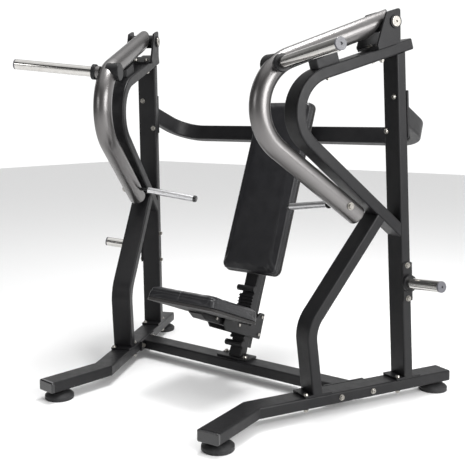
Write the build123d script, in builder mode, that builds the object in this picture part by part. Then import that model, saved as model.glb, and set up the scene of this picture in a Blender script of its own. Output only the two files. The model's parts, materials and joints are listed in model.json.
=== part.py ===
"""Plate-loaded chest press machine, built as its separate pieces, in millimetres.

Frame: +Z up, -Y towards the front of the machine, X across it, mirror plane X = 0.
The origin is on the floor, under the centre of the machine's outline.
Each side frame stands on a rail that is toed in, so the side pieces are drawn in a
side plane: u runs forward along the rail, z runs up and w runs outwards.
The seat and the backrest share a leaning post, so they are drawn in post coordinates:
n runs forward out of the post's front face and t runs up along the post.
"""
import os
from math import cos, radians, sin, tan

from build123d import *

# ---- driving dimensions --------------------------------------------------------------
TOE = 24.89                  # rail toe-in, degrees from straight ahead
REAR_X = 881.0               # half the distance between the rear ends of the rails
TUBE_W, TUBE_H, WALL = 100.0, 50.0, 3.0      # frame tube, wide side along w
TUBE_CORNER = 8.0
FOOT_H = 46.0                # height of the rails above the floor
PLATE = 10.0                 # thickness of the welded plates
BOLT_R = 6.0                 # M12 fasteners
BOLT_HOLE_R = 6.5

RAIL_BEND_U = 1050.0         # where the rail turns to the front
RAIL_TURN = 30.0             # degrees
RAIL_FRONT = 318.0           # front stretch of the rail, without its cap
CAP = 14.0                   # plastic caps of the rails
BEAM_CAP = 6.0

LEG_FOOT_U, LEG_LEAN = 749.5, 7.2            # front leg at its base plate, degrees
LEG_KNEE_Z, LEG_SLOPE, LEG_BEND = 392.0, 51.5, 150.0
LEG_PLATE = (675.0, 815.0)

UPRIGHT_U, UPRIGHT_LEAN = 275.0, 3.12        # front face at its base plate, degrees
UPRIGHT_PLATE = (180.0, 320.0)

BEND_U, BEND_Z, BEND_R = 676.0, 1307.0, 170.0    # bend of the upper frame
BEAM_FALL, BRACE_FALL = 17.0, 39.5               # beam falls forward, brace falls rearward
BEAM_REAR_U = 274.0

PIVOT_U = 388.0
PIVOT_R, PIVOT_RUN = 15.0, 0.05              # pin radius and its running clearance
EAR_IN, EAR_T = 65.0, 10.0
EAR_TOP, EAR_HALF, EAR_CORNER = 50.0, 39.0, 11.0     # above the pivot, half width there
BRACKET = (347.0, 467.0)                     # bracket along the beam

ARM_R, ARM_WALL = 44.45, 4.0
ARM_BEND = (800.0, 1328.0, 216.0)            # centre and radius of the arm's bend
ARM_FALL, ARM_RISE = 20.0, 36.24             # upper stretch falls, lower stretch rises, degrees
ARM_OVER = 11.4                              # height of the arm's centre line above its pivot
ARM_END_U = 528.0
ARM_CLEAR = 0.4                              # gap between a resting arm and its stop

HORN_U, HORN_Z, HORN_TILT, HORN_TOE = 948.0, 1497.0, 5.9, 1.7
HORN_R, HORN_COLLAR_R, HORN_WALL = 25.0, 37.5, 4.0
COLLAR, SLEEVE, HORN_CAP = (56.0, 74.0), (74.0, 470.0), 8.0      # along the horn from the arm
HORN_CAP_R = HORN_R - 0.3     # caps are narrower than the sleeves, so plates pass over them
BOSS_R, BOSS_SINK = 30.0, 8.0                # welded boss that carries a horn
STUB_U, STUB_Z = 938.0, 1503.0
STUB_R, STUB_OUT = 42.5, 63.0

GRIP_U, GRIP_Z = 590.0, 906.0                # handle bolt on the arm
GRIP_START = (609.0, 903.0, -86.0)
GRIP_END = (641.0, 867.0, -346.0)
GRIP_R, GRIP_CORE_R, NECK_R = 16.5, 13.0, 8.0

STORE_Z, STORE_TILT, STORE_TIP_W = 541.0, 6.5, 274.0
STORE_PLATE = (50.0, 176.0, 8.0)

POST_LEAN = 21.5             # post leans back, degrees
POST_FOOT = -524.6           # front face of the post at the floor, behind the rail's rear end
POST_X, POST_DEEP = 38.0, 50.0
CROSS_Y = -475.0             # centre of the floor cross-member
BAR_T, BAR_TALL, BAR_DEEP = 1314.0, 84.0, 50.0   # crossbar on the back of the post
BAR_LEG_X, BAR_BEND = 757.0, 150.0

RACK_T, RACK_X, RACK_PITCH = (200.0, 425.0), 42.0, 16.0
RACK_ROOT, RACK_TIP = 8.0, 16.0              # the rack's plate and its ribs, out from the post
STOP_BARS = (174.0, 451.0)
STOP_BAR_N, STOP_BAR_R, STOP_BAR_X = 21.0, 15.0, 52.0
GUIDE_T, GUIDE_X, GUIDE_N = (168.0, 560.0), 32.0, -80.0

BACK_X, BACK_T, BACK_N, BACK_CORNER = 173.0, (528.0, 1457.0), 58.0, 38.0
SEAT_X, SEAT_N, SEAT_T, SEAT_CORNER = 200.0, (144.0, 530.0), (284.0, 339.0), 34.0
BOARD = 12.0
BOARD_N = 3.0                # thickness of the plates that carry the backrest board
BACK_MOUNTS = (BACK_T[0] + 130, BACK_T[1] - 250)
CARRIAGE_IN, CARRIAGE_T = 44.0, 8.0          # inner faces and thickness of the side plates
ROLLER_R, ROLLER_T = 13.7, (242.0, 331.0)

# ---- derived places ------------------------------------------------------------------
TOE_SIN, TOE_COS = sin(radians(TOE)), cos(radians(TOE))
LEAN_SIN, LEAN_COS = sin(radians(POST_LEAN)), cos(radians(POST_LEAN))
RAIL_TOP = FOOT_H + TUBE_H
PLATE_TOP = RAIL_TOP + PLATE
MID_Z = FOOT_H + TUBE_H / 2
BAR_N = -POST_DEEP - PLATE - BAR_DEEP / 2    # centre line of the crossbar

FRONT_HEADING = radians(RAIL_TURN - TOE)     # front stretch of the rail, outwards of -Y
FRONT_LOW = (RAIL_FRONT * cos(FRONT_HEADING) + (TUBE_W / 2 - CAP) * sin(FRONT_HEADING)
             + CAP)
FRONT_Y = -RAIL_BEND_U * TOE_COS - FRONT_LOW
BAR_REAR_N, BAR_TOP_T = BAR_N - BAR_DEEP / 2, BAR_T + BAR_TALL / 2
BACK_Y = POST_FOOT + BAR_TOP_T * LEAN_SIN - BAR_REAR_N * LEAN_COS
REAR_Y = -(FRONT_Y + BACK_Y) / 2             # puts the origin under the outline's centre

arm_turn = radians(180 - ARM_FALL - ARM_RISE) / 2
arm_run = ARM_BEND[2] * tan(arm_turn)
arm_corner = (ARM_BEND[0] + ARM_BEND[2] * sin(radians(ARM_FALL)) + arm_run * cos(radians(ARM_FALL)),
              ARM_BEND[1] + ARM_BEND[2] * cos(radians(ARM_FALL)) - arm_run * sin(radians(ARM_FALL)))
PIVOT_Z = arm_corner[1] + (arm_corner[0] - PIVOT_U) * tan(radians(ARM_FALL)) - ARM_OVER

FORWARD = Vector(-TOE_SIN, -TOE_COS, 0)
OUT = Vector(TOE_COS, -TOE_SIN, 0)
UP = Vector(0, 0, 1)
REAR_END = Vector(REAR_X, REAR_Y, 0)

POST_ORIGIN = Vector(0, REAR_Y + POST_FOOT, 0)
POST_N = Vector(0, -LEAN_COS, LEAN_SIN)
POST_T = Vector(0, LEAN_SIN, LEAN_COS)
ACROSS = Vector(1, 0, 0)


def side_point(u, z, w=0.0):
    """Point of the right-hand side frame."""
    return REAR_END + FORWARD * u + OUT * w + UP * z


def side_plane(w=0.0):
    """Upright plane of the right-hand side frame: x is u, y is z, the normal points inwards."""
    return Plane(origin=side_point(0, 0, w), x_dir=FORWARD, z_dir=-OUT)


def side_at(u, z, w=0.0):
    """Plane parallel to the side frame at one of its points; the normal points inwards."""
    return Plane(origin=side_point(u, z, w), x_dir=FORWARD, z_dir=-OUT)


def floor_plane(z):
    """Level plane along the right-hand rail: x is u, y is -w, the normal points up."""
    return Plane(origin=side_point(0, z), x_dir=FORWARD, z_dir=UP)


def slope_plane(u, z, slope):
    """Plane across the side frame; its normal points along a line that rises by slope degrees."""
    along = FORWARD * cos(radians(slope)) + UP * sin(radians(slope))
    return Plane(origin=side_point(u, z), x_dir=OUT, z_dir=along)


def horn_plane(u, z, w, tilt, toe=0.0):
    """Plane across a horn that points outwards and a little upwards."""
    along = OUT * cos(radians(tilt)) + UP * sin(radians(tilt)) + FORWARD * sin(radians(toe))
    origin = side_point(u, z, 0) + along * (w / cos(radians(tilt)))
    return Plane(origin=origin, x_dir=FORWARD, z_dir=along)


def post_plane():
    """Mirror plane of the post: x is n, y is t."""
    return Plane(origin=POST_ORIGIN, x_dir=POST_N, z_dir=-ACROSS)


def post_face(n):
    """Plane parallel to the post's front face: x is across, y is t, the normal points forward."""
    return Plane(origin=POST_ORIGIN + POST_N * n, x_dir=ACROSS, z_dir=POST_N)


def post_cut(t):
    """Plane across the post: x is across, y is n, the normal points down along the post."""
    return Plane(origin=POST_ORIGIN + POST_T * t, x_dir=ACROSS, z_dir=-POST_T)


def across_plane(n, t):
    """Mirror plane with its origin at a place beside the post; the normal points to +X."""
    return Plane(origin=post_plane().from_local_coords((n, t, 0)), z_dir=ACROSS)


def upright_u(z):
    """Front face of the upright at a height."""
    return UPRIGHT_U + (z - RAIL_TOP) * tan(radians(UPRIGHT_LEAN))


def tube_section(width=TUBE_W, height=TUBE_H, wall=WALL, corner=TUBE_CORNER):
    """Rectangular tube section in the open sketch."""
    RectangleRounded(width, height, corner)
    RectangleRounded(width - 2 * wall, height - 2 * wall, corner - wall, mode=Mode.SUBTRACT)


def drill(planes, radius, depth):
    """Round holes along the normals of the planes, in the open part."""
    for plane in planes:
        disc(plane, radius, depth, both=True, mode=Mode.SUBTRACT)


def disc(plane, radius, amount, **options):
    """Round solid on a plane, in the open part."""
    with BuildSketch(plane) as circle:
        Circle(radius)
    extrude(circle.sketch, amount=amount, **options)


def hexagon(plane, radius, amount, **options):
    """Six-sided solid on a plane, in the open part."""
    with BuildSketch(plane) as outline:
        RegularPolygon(radius, 6)
    extrude(outline.sketch, amount=amount, **options)


def bolt(plane, grip):
    """Button-head bolt seated on a plane whose normal leaves the work, with washer and nut."""
    head_r, head_h, washer_r, washer_h, nut_r, nut_h = 11.0, 7.0, 13.0, 2.0, 10.5, 10.0
    disc(plane, washer_r, washer_h)
    disc(plane.offset(washer_h), head_r, head_h, taper=22)
    disc(plane, BOLT_R, -(grip + nut_h + 3))
    disc(plane.offset(-grip), washer_r, -washer_h)
    hexagon(plane.offset(-grip), nut_r, -nut_h)
    hexagon(plane.offset(washer_h + head_h), 3.5, -4.0, mode=Mode.SUBTRACT)


def write(name, part):
    """Label a finished piece and write its STEP file."""
    part.label = name
    export_step(part, f"parts/{name}.step")


def write_sides(name, part):
    """Write the right-hand piece and its mirror image."""
    write(f"{name}_right", part)
    write(f"{name}_left", mirror(part, about=Plane.YZ))


def write_both(name, part):
    """Write the right-hand and the left-hand pieces as one group."""
    with BuildPart() as group:
        add(part)
        mirror(about=Plane.YZ)
    write(name, group.part)


os.makedirs("parts", exist_ok=True)

# ---- places of the fasteners ---------------------------------------------------------
RAIL_BOLTS = ((LEG_PLATE[1] - 11, 37), (LEG_PLATE[0] + 28, -37),
              (UPRIGHT_PLATE[1] - 17, 34), (UPRIGHT_PLATE[0] + 17, -34))
rail_bolt_planes = [Plane(origin=side_point(u, PLATE_TOP, w), x_dir=FORWARD, z_dir=UP)
                    for u, w in RAIL_BOLTS]
CROSS_BOLT_U = (454.0, 626.0)
cross_bolt_planes = [Plane(origin=side_point(u, MID_Z, TUBE_W / 2), x_dir=FORWARD, z_dir=OUT)
                     for u in CROSS_BOLT_U]
BAR_BOLTS = ((24.5, 1376.0), (-33.0, 1224.0))
bar_bolt_planes = [Plane(origin=side_point(upright_u(z), z, w), x_dir=OUT,
                         z_dir=slope_plane(0, 0, -UPRIGHT_LEAN).z_dir) for w, z in BAR_BOLTS]
STORE_BOLT_Z = (472.0, 624.0)
store_bolt_planes = [Plane(origin=side_point(upright_u(z) - TUBE_H / 2, z, TUBE_W / 2 + STORE_PLATE[2]),
                           x_dir=FORWARD, z_dir=OUT) for z in STORE_BOLT_Z]
POST_BOLTS = ((63.0, -6.0), (-78.0, 32.0))     # on the post's base plate, from its centre line
post_bolt_planes = [Plane(origin=(x, REAR_Y + CROSS_Y + dy, PLATE_TOP), z_dir=(0, 0, 1))
                    for x, dy in POST_BOLTS]
JOINT_BOLT_X = 62.0
joint_bolt_planes = [Plane(origin=post_cut(BAR_T).from_local_coords((x, -POST_DEEP, 0)),
                           x_dir=ACROSS, z_dir=POST_N) for x in (-JOINT_BOLT_X, JOINT_BOLT_X)]

# ---- base rails ----------------------------------------------------------------------
rail_bend = side_point(RAIL_BEND_U, MID_Z)
front_along = Vector(sin(FRONT_HEADING), -cos(FRONT_HEADING), 0)
rail_front = rail_bend + front_along * RAIL_FRONT
FOOT_BACK = 60.0
front_foot = rail_bend + front_along * (RAIL_FRONT + CAP - 75.0)
foot_planes = [Plane(origin=(side_point(FOOT_BACK, 0).X, side_point(FOOT_BACK, 0).Y, 0)),
               Plane(origin=(front_foot.X, front_foot.Y, 0))]

with BuildPart() as base_rail:
    with BuildLine() as rail_path:
        Polyline(side_point(CAP / 2, MID_Z), rail_bend, rail_front)
    with BuildSketch(Plane(origin=side_point(CAP / 2, MID_Z), x_dir=OUT, z_dir=FORWARD)):
        tube_section()
    sweep(path=rail_path.line, transition=Transition.RIGHT)
    drill(rail_bolt_planes, BOLT_HOLE_R, PLATE + TUBE_H + 5)
    drill(cross_bolt_planes, BOLT_HOLE_R, TUBE_W + 5)
    drill(foot_planes, 8.5, FOOT_H + WALL + 2)
write_sides("base_rail", base_rail.part)

# ---- feet ----------------------------------------------------------------------------
FOOT_R, FOOT_SIDE, FOOT_TOP_R, FOOT_RUBBER, FOOT_SOLE = 66.0, 18.0, 26.0, 34.0, 12.0
STUD_R, STUD_LONG, STUD_NUT_R = 8.0, 52.0, 14.0
with BuildPart() as feet:
    for place in foot_planes:
        profile = Plane(origin=place.origin, x_dir=(1, 0, 0), z_dir=(0, -1, 0))
        with BuildSketch(profile):
            with BuildLine():
                Polyline((0, FOOT_RUBBER), (0, 0), (FOOT_R - 3, 0), (FOOT_R, 3), (FOOT_R, FOOT_SIDE))
                ThreePointArc((FOOT_R, FOOT_SIDE), (FOOT_R * 0.82, FOOT_SIDE + 10),
                              (FOOT_TOP_R, FOOT_RUBBER))
                Line((FOOT_TOP_R, FOOT_RUBBER), (0, FOOT_RUBBER))
            make_face()
        revolve(axis=Axis(place.origin, (0, 0, 1)))
    drill(foot_planes, STUD_R, FOOT_RUBBER + 1)
    for place in foot_planes:
        with BuildSketch(place):
            Circle(STUD_R + 4)
        extrude(amount=FOOT_SOLE)
write_both("levelling_feet", feet.part)

with BuildPart() as foot_studs:
    for place in foot_planes:
        disc(place.offset(FOOT_SOLE), STUD_R, STUD_LONG)
        hexagon(place.offset(FOOT_RUBBER), STUD_NUT_R, FOOT_H - FOOT_RUBBER)
write_both("foot_studs", foot_studs.part)

# ---- front legs ----------------------------------------------------------------------
leg_knee_u = LEG_FOOT_U + (LEG_KNEE_Z - PLATE_TOP) * tan(radians(LEG_LEAN))
brace_face = slope_plane(BEND_U + (BEND_R + TUBE_H / 2) * sin(radians(BRACE_FALL)),
                         BEND_Z - (BEND_R + TUBE_H / 2) * cos(radians(BRACE_FALL)), BRACE_FALL - 90)
LEG_TOP = 700.0              # run of the leg above its knee, before it is cut to the brace
SINK = 5.0                   # tubes are drawn this far into their base plates, then trimmed
leg_start = (LEG_FOOT_U - SINK * tan(radians(LEG_LEAN)), PLATE_TOP - SINK)
with BuildPart() as front_leg:
    with BuildLine(side_plane()) as leg_path:
        FilletPolyline(leg_start, (leg_knee_u, LEG_KNEE_Z),
                       (leg_knee_u - LEG_TOP * cos(radians(LEG_SLOPE)),
                        LEG_KNEE_Z + LEG_TOP * sin(radians(LEG_SLOPE))), radius=LEG_BEND)
    with BuildSketch(slope_plane(*leg_start, 90 - LEG_LEAN)):
        tube_section()
    sweep(path=leg_path.line)
    split(bisect_by=brace_face, keep=Keep.TOP)
    split(bisect_by=floor_plane(PLATE_TOP), keep=Keep.TOP)
    with BuildSketch(floor_plane(RAIL_TOP)):
        with Locations(((LEG_PLATE[0] + LEG_PLATE[1]) / 2, 0)):
            RectangleRounded(LEG_PLATE[1] - LEG_PLATE[0], TUBE_W, 4.0)
    extrude(amount=PLATE)
    drill(rail_bolt_planes[:2], BOLT_HOLE_R, PLATE + 5)
write_sides("front_leg", front_leg.part)

# ---- upper frames: beam, bend and brace in one bent tube -----------------------------
half_turn = radians(180 - BEAM_FALL - BRACE_FALL) / 2
corner_run = BEND_R * tan(half_turn)
beam_out = (cos(radians(BEAM_FALL)), -sin(radians(BEAM_FALL)))
corner_u = BEND_U + BEND_R * sin(radians(BEAM_FALL)) + corner_run * beam_out[0]
corner_z = BEND_Z + BEND_R * cos(radians(BEAM_FALL)) + corner_run * beam_out[1]
beam_rear_z = corner_z + (corner_u - BEAM_REAR_U) * tan(radians(BEAM_FALL))
BRACE_RUN = 1000.0           # drawn length of the brace, before it is trimmed at the upright
BRACE_CUT = (400.0, 1100.0)  # heights between which it is trimmed
beam_side = Plane(origin=side_point(corner_u, corner_z),
                  x_dir=FORWARD * beam_out[0] + UP * beam_out[1], z_dir=-OUT)


def beam_x(u):
    """Distance along the beam, from its corner point, of a place u on its centre line."""
    return (u - corner_u) / beam_out[0]


def beam_top(x, w=0.0):
    """Plane on the beam's top face: x runs down the beam, the normal points away from it."""
    return Plane(origin=beam_side.from_local_coords((x, TUBE_H / 2, -w)), x_dir=beam_side.x_dir,
                 z_dir=beam_side.y_dir)


pivot = beam_side.to_local_coords(side_point(PIVOT_U, PIVOT_Z))
BRACKET_BOLT_W = 30.0
bracket_bolt_planes = [beam_top(beam_x(BRACKET[1] - 36.0), w).offset(PLATE)
                       for w in (-BRACKET_BOLT_W, BRACKET_BOLT_W)]
STOP = (637.0, 747.0)        # arm stop along the beam
STOP_X = 32.0
stop_bolt_plane = beam_top(beam_x(sum(STOP) / 2))
with BuildPart() as upper_frame:
    with BuildLine(side_plane()) as frame_path:
        FilletPolyline((BEAM_REAR_U, beam_rear_z), (corner_u, corner_z),
                       (corner_u - BRACE_RUN * cos(radians(BRACE_FALL)),
                        corner_z - BRACE_RUN * sin(radians(BRACE_FALL))), radius=BEND_R)
    with BuildSketch(slope_plane(BEAM_REAR_U, beam_rear_z, -BEAM_FALL)):
        tube_section()
    sweep(path=frame_path.line)
    with BuildSketch(side_plane()):
        with BuildLine():
            Polyline((upright_u(BRACE_CUT[0]), BRACE_CUT[0]), (upright_u(BRACE_CUT[1]), BRACE_CUT[1]),
                     (0, BRACE_CUT[1]), (0, BRACE_CUT[0]), close=True)
        make_face()
    extrude(amount=TUBE_W, both=True, mode=Mode.SUBTRACT)
    drill(bracket_bolt_planes, BOLT_HOLE_R, TUBE_H + PLATE + 5)
    drill([stop_bolt_plane], BOLT_HOLE_R, TUBE_H + 5)
write_sides("upper_frame", upper_frame.part)

# ---- uprights ------------------------------------------------------------------------
beam_under = beam_top(0.0).offset(-TUBE_H)
upright_mid_u = upright_u(PLATE_TOP) - TUBE_H / 2 / cos(radians(UPRIGHT_LEAN))
UPRIGHT_RUN = 1700.0         # drawn length, before it is trimmed under the beam
with BuildPart() as upright:
    with BuildSketch(slope_plane(upright_mid_u, PLATE_TOP, 90 - UPRIGHT_LEAN).offset(-4 * SINK)):
        tube_section()
    extrude(amount=UPRIGHT_RUN)
    split(bisect_by=beam_under, keep=Keep.BOTTOM)
    split(bisect_by=floor_plane(PLATE_TOP), keep=Keep.TOP)
    with BuildSketch(floor_plane(RAIL_TOP)):
        with Locations((sum(UPRIGHT_PLATE) / 2, 0)):
            RectangleRounded(UPRIGHT_PLATE[1] - UPRIGHT_PLATE[0], TUBE_W, 4.0)
    extrude(amount=PLATE)
    drill(rail_bolt_planes[2:], BOLT_HOLE_R, PLATE + 5)
    drill(bar_bolt_planes, BOLT_HOLE_R, TUBE_H + 5)
    drill(store_bolt_planes, BOLT_HOLE_R, TUBE_W + STORE_PLATE[2] + 5)
write_sides("rear_upright", upright.part)

# ---- pivot brackets ------------------------------------------------------------------
pivot_mid = side_at(PIVOT_U, PIVOT_Z)
EAR_OUT = EAR_IN + EAR_T
RING_R, RING_T, PIVOT_CAP_R = 29.0, 6.0, 23.2
with BuildPart() as pivot_bracket:
    bracket_x = [beam_x(u) for u in BRACKET]
    with BuildSketch(beam_top(0.0)):
        with Locations((sum(bracket_x) / 2, 0)):
            RectangleRounded(bracket_x[1] - bracket_x[0], 2 * (EAR_IN + EAR_T), 6.0)
    extrude(amount=PLATE)
    for side in (-1, 1):
        with BuildSketch(beam_side.offset(side * (EAR_IN + EAR_T / 2))):
            with Locations([(pivot.X + way * (EAR_HALF - EAR_CORNER), pivot.Y + EAR_TOP - EAR_CORNER)
                            for way in (-1, 1)]):
                Circle(EAR_CORNER)
            with Locations((sum(bracket_x) / 2, TUBE_H / 2 + PLATE + EAR_T / 2)):
                Rectangle(bracket_x[1] - bracket_x[0], EAR_T)
            make_hull()
        extrude(amount=EAR_T / 2, both=True)
    for side in (-1, 1):
        face = pivot_mid.offset(side * EAR_OUT)
        disc(face, RING_R, side * RING_T)
        disc(face, PIVOT_CAP_R, side * RING_T, mode=Mode.SUBTRACT)
    disc(pivot_mid, PIVOT_R, 2 * EAR_IN, both=True, mode=Mode.SUBTRACT)
    drill(bracket_bolt_planes, BOLT_HOLE_R, PLATE + 5)
write_sides("pivot_bracket", pivot_bracket.part)

with BuildPart() as pivot_pins:
    disc(pivot_mid, PIVOT_R, EAR_OUT + 4, both=True)
write_both("pivot_pins", pivot_pins.part)
with BuildPart() as pivot_caps:
    for side in (-1, 1):
        face = pivot_mid.offset(side * EAR_OUT)
        disc(face, PIVOT_CAP_R - 0.2, side * 10.0)
        fillet(edges().group_by(Axis(pivot_mid.origin, pivot_mid.z_dir * side))[-1], 2.0)
        hexagon(face.offset(side * 10.0), 6.0, -side * 5.0, mode=Mode.SUBTRACT)
    disc(pivot_mid, PIVOT_R, EAR_OUT + 4, both=True, mode=Mode.SUBTRACT)
write_both("pivot_caps", pivot_caps.part)

# ---- arms ----------------------------------------------------------------------------
ARM_TOP_S = -60.0            # where the arm's tube starts behind the pivot, before its oblique cut
arm_top_u = PIVOT_U + ARM_TOP_S * cos(radians(ARM_FALL))
arm_top_z = arm_corner[1] + (arm_corner[0] - arm_top_u) * tan(radians(ARM_FALL))
ARM_DOME = 12.0
arm_end = (ARM_END_U, arm_corner[1] - (arm_corner[0] - ARM_END_U) * tan(radians(ARM_RISE)))
arm_side = Plane(origin=side_point(PIVOT_U, PIVOT_Z),
                 x_dir=FORWARD * cos(radians(ARM_FALL)) - UP * sin(radians(ARM_FALL)), z_dir=-OUT)
HUB_R, BUSH_R, FLANGE, HUB_GAP = 35.0, 20.0, 2.5, 0.5
HUB_HALF = EAR_IN - FLANGE - HUB_GAP
arm_lift = ARM_OVER * cos(radians(ARM_FALL))         # arm's centre line above the pivot, square to it
COPE = ((-16.0, arm_lift + ARM_R), (122.0, arm_lift - ARM_R))        # oblique end of the arm's tube
COPE_PLATE = 6.0
horn_axis = horn_plane(HORN_U, HORN_Z, 0.0, HORN_TILT, HORN_TOE)
stub_end = side_at(STUB_U, STUB_Z, -STUB_OUT)


def arm_solid(radius):
    """Bent round bar along the arm's centre line, in the open part."""
    with BuildLine(side_plane()) as path:
        FilletPolyline((arm_top_u, arm_top_z), arm_corner, arm_end, radius=ARM_BEND[2])
    with BuildSketch(slope_plane(arm_top_u, arm_top_z, -ARM_FALL)) as round_end:
        Circle(radius)
    return sweep(round_end.sketch, path=path.line, mode=Mode.PRIVATE)


with BuildPart() as arm_tube:
    add(arm_solid(ARM_R))
    with BuildSketch(slope_plane(*arm_end, ARM_RISE)):
        Circle(ARM_R)
    extrude(amount=-ARM_DOME)
    fillet(edges().group_by(Axis(side_point(*arm_end), -slope_plane(0, 0, ARM_RISE).z_dir))[-1], 11.0)
    add(arm_solid(ARM_R - ARM_WALL), mode=Mode.SUBTRACT)
    disc(horn_axis.offset(ARM_R - BOSS_SINK), BOSS_R, COLLAR[0] - ARM_R + BOSS_SINK)
    add(arm_solid(ARM_R - ARM_WALL), mode=Mode.SUBTRACT)
    with BuildSketch(arm_side):
        with BuildLine():
            Polyline(COPE[0], COPE[1], (2 * ARM_TOP_S, COPE[1][1]), (2 * ARM_TOP_S, COPE[0][1]),
                     close=True)
        make_face()
    extrude(amount=2 * ARM_R, both=True, mode=Mode.SUBTRACT)
    disc(pivot_mid, HUB_R, HUB_HALF, both=True, mode=Mode.SUBTRACT)
    disc(side_at(GRIP_U, GRIP_Z), NECK_R + 0.5, 2 * ARM_R, both=True,
         mode=Mode.SUBTRACT)
write_sides("arm_tube", arm_tube.part)

with BuildPart() as arm_hub:
    with BuildSketch(arm_side):
        with BuildLine():
            Polyline(COPE[0], COPE[1], (COPE[1][0] - COPE_PLATE, COPE[1][1]),
                     (COPE[0][0] - COPE_PLATE, COPE[0][1]), close=True)
        make_face()
    extrude(amount=ARM_R, both=True)
    add(arm_solid(ARM_R), mode=Mode.INTERSECT)
    disc(pivot_mid, HUB_R, HUB_HALF, both=True)
    disc(pivot_mid, BUSH_R, HUB_HALF + 1, both=True, mode=Mode.SUBTRACT)
write_sides("arm_hub", arm_hub.part)

with BuildPart() as pivot_bushes:
    for side in (-1, 1):
        disc(pivot_mid.offset(side * (HUB_HALF - 25)), BUSH_R, side * 25)
        disc(pivot_mid.offset(side * HUB_HALF), BUSH_R + 8, side * FLANGE)
    disc(pivot_mid, PIVOT_R + PIVOT_RUN, EAR_IN, both=True, mode=Mode.SUBTRACT)
write_sides("pivot_bushes", pivot_bushes.part)

# ---- weight horns and inner stubs ----------------------------------------------------
with BuildPart() as horn_collar:
    disc(horn_axis.offset(COLLAR[0]), HORN_COLLAR_R, COLLAR[1] - COLLAR[0])
    fillet(edges().filter_by(GeomType.CIRCLE), 2.0)
write_sides("horn_collar", horn_collar.part)
with BuildPart() as horn_sleeve:
    disc(horn_axis.offset(SLEEVE[0]), HORN_R, SLEEVE[1] - SLEEVE[0])
    disc(horn_axis.offset(SLEEVE[0]), HORN_R - HORN_WALL, SLEEVE[1] - SLEEVE[0], mode=Mode.SUBTRACT)
write_sides("horn_sleeve", horn_sleeve.part)
with BuildPart() as horn_cap:
    disc(horn_axis.offset(SLEEVE[1]), HORN_CAP_R, HORN_CAP)
    fillet(edges().group_by(Axis(horn_axis.origin, horn_axis.z_dir))[-1], 2.0)
    disc(horn_axis.offset(SLEEVE[1]), HORN_R - HORN_WALL - 0.1, -20.0)
    hexagon(horn_axis.offset(SLEEVE[1] + HORN_CAP), 7.0, -5.0, mode=Mode.SUBTRACT)
write_sides("horn_cap", horn_cap.part)
with BuildPart() as arm_stub:
    disc(stub_end, STUB_R, -STUB_OUT)
    fillet(edges().group_by(Axis(stub_end.origin, stub_end.z_dir))[-1], 4.0)
    add(arm_solid(ARM_R), mode=Mode.SUBTRACT)
write_sides("arm_stub", arm_stub.part)

# ---- handles -------------------------------------------------------------------------
grip_a, grip_b = (side_point(u, z, w) for u, z, w in (GRIP_START, GRIP_END))
grip_along = (grip_b - grip_a).normalized()
grip_plane = Plane(origin=grip_a, x_dir=grip_along.cross(UP), z_dir=grip_along)
GRIP_LEN, GRIP_RING, GRIP_PLUG = (grip_b - grip_a).length, 6.0, 16.0
neck_bend = grip_a - grip_along * 20.0
neck_out = ARM_R + 4.0       # the neck's threaded end on the outer side of the arm
with BuildPart() as handle_neck:
    with BuildLine() as neck_path:
        FilletPolyline(side_point(GRIP_U, GRIP_Z, neck_out), side_point(GRIP_U, GRIP_Z, -ARM_R - 2),
                       neck_bend, grip_a, radius=10.0)
    with BuildSketch(Plane(origin=side_point(GRIP_U, GRIP_Z, neck_out), z_dir=-OUT)):
        Circle(NECK_R)
    sweep(path=neck_path.line)
    disc(grip_plane, GRIP_CORE_R, GRIP_LEN)
write_sides("handle_bar", handle_neck.part)
with BuildPart() as handle_nut:
    seat = side_at(GRIP_U, GRIP_Z, ARM_R)
    disc(seat, 17.0, -5.0)
    hexagon(seat.offset(-5.0), 12.0, -7.0)
    disc(seat, NECK_R, -4.0, mode=Mode.SUBTRACT)
write_sides("handle_nut", handle_nut.part)
with BuildPart() as handle_ring:
    disc(grip_plane, GRIP_R + 2.5, GRIP_RING)
    fillet(edges().filter_by(GeomType.CIRCLE), 1.5)
    disc(grip_plane, GRIP_CORE_R, GRIP_RING, mode=Mode.SUBTRACT)
write_sides("handle_ring", handle_ring.part)
with BuildPart() as handle_grip:
    disc(grip_plane.offset(GRIP_RING), GRIP_R, GRIP_LEN - GRIP_RING)
    disc(grip_plane.offset(GRIP_RING), GRIP_CORE_R, GRIP_LEN - GRIP_RING, mode=Mode.SUBTRACT)
write_sides("handle_grip", handle_grip.part)
with BuildPart() as handle_plug:
    disc(grip_plane.offset(GRIP_LEN), GRIP_R + 1.0, GRIP_PLUG)
    fillet(edges().group_by(Axis(grip_a, grip_along))[-1], 6.0)
write_sides("handle_plug", handle_plug.part)

# ---- arm stops -----------------------------------------------------------------------
with BuildPart() as arm_stops:
    stop_x = [beam_x(u) for u in STOP]
    with BuildSketch(beam_top(0.0)):
        with Locations((sum(stop_x) / 2, 0)):
            RectangleRounded(stop_x[1] - stop_x[0], 2 * STOP_X, 6.0)
    extrude(amount=90)
    split(bisect_by=Plane(origin=arm_side.from_local_coords((0, arm_lift - ARM_R - ARM_CLEAR, 0)),
                          x_dir=arm_side.x_dir, z_dir=arm_side.y_dir), keep=Keep.BOTTOM)
    drill([stop_bolt_plane], BOLT_HOLE_R, 14.0)
write_both("arm_stops", arm_stops.part)

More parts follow.
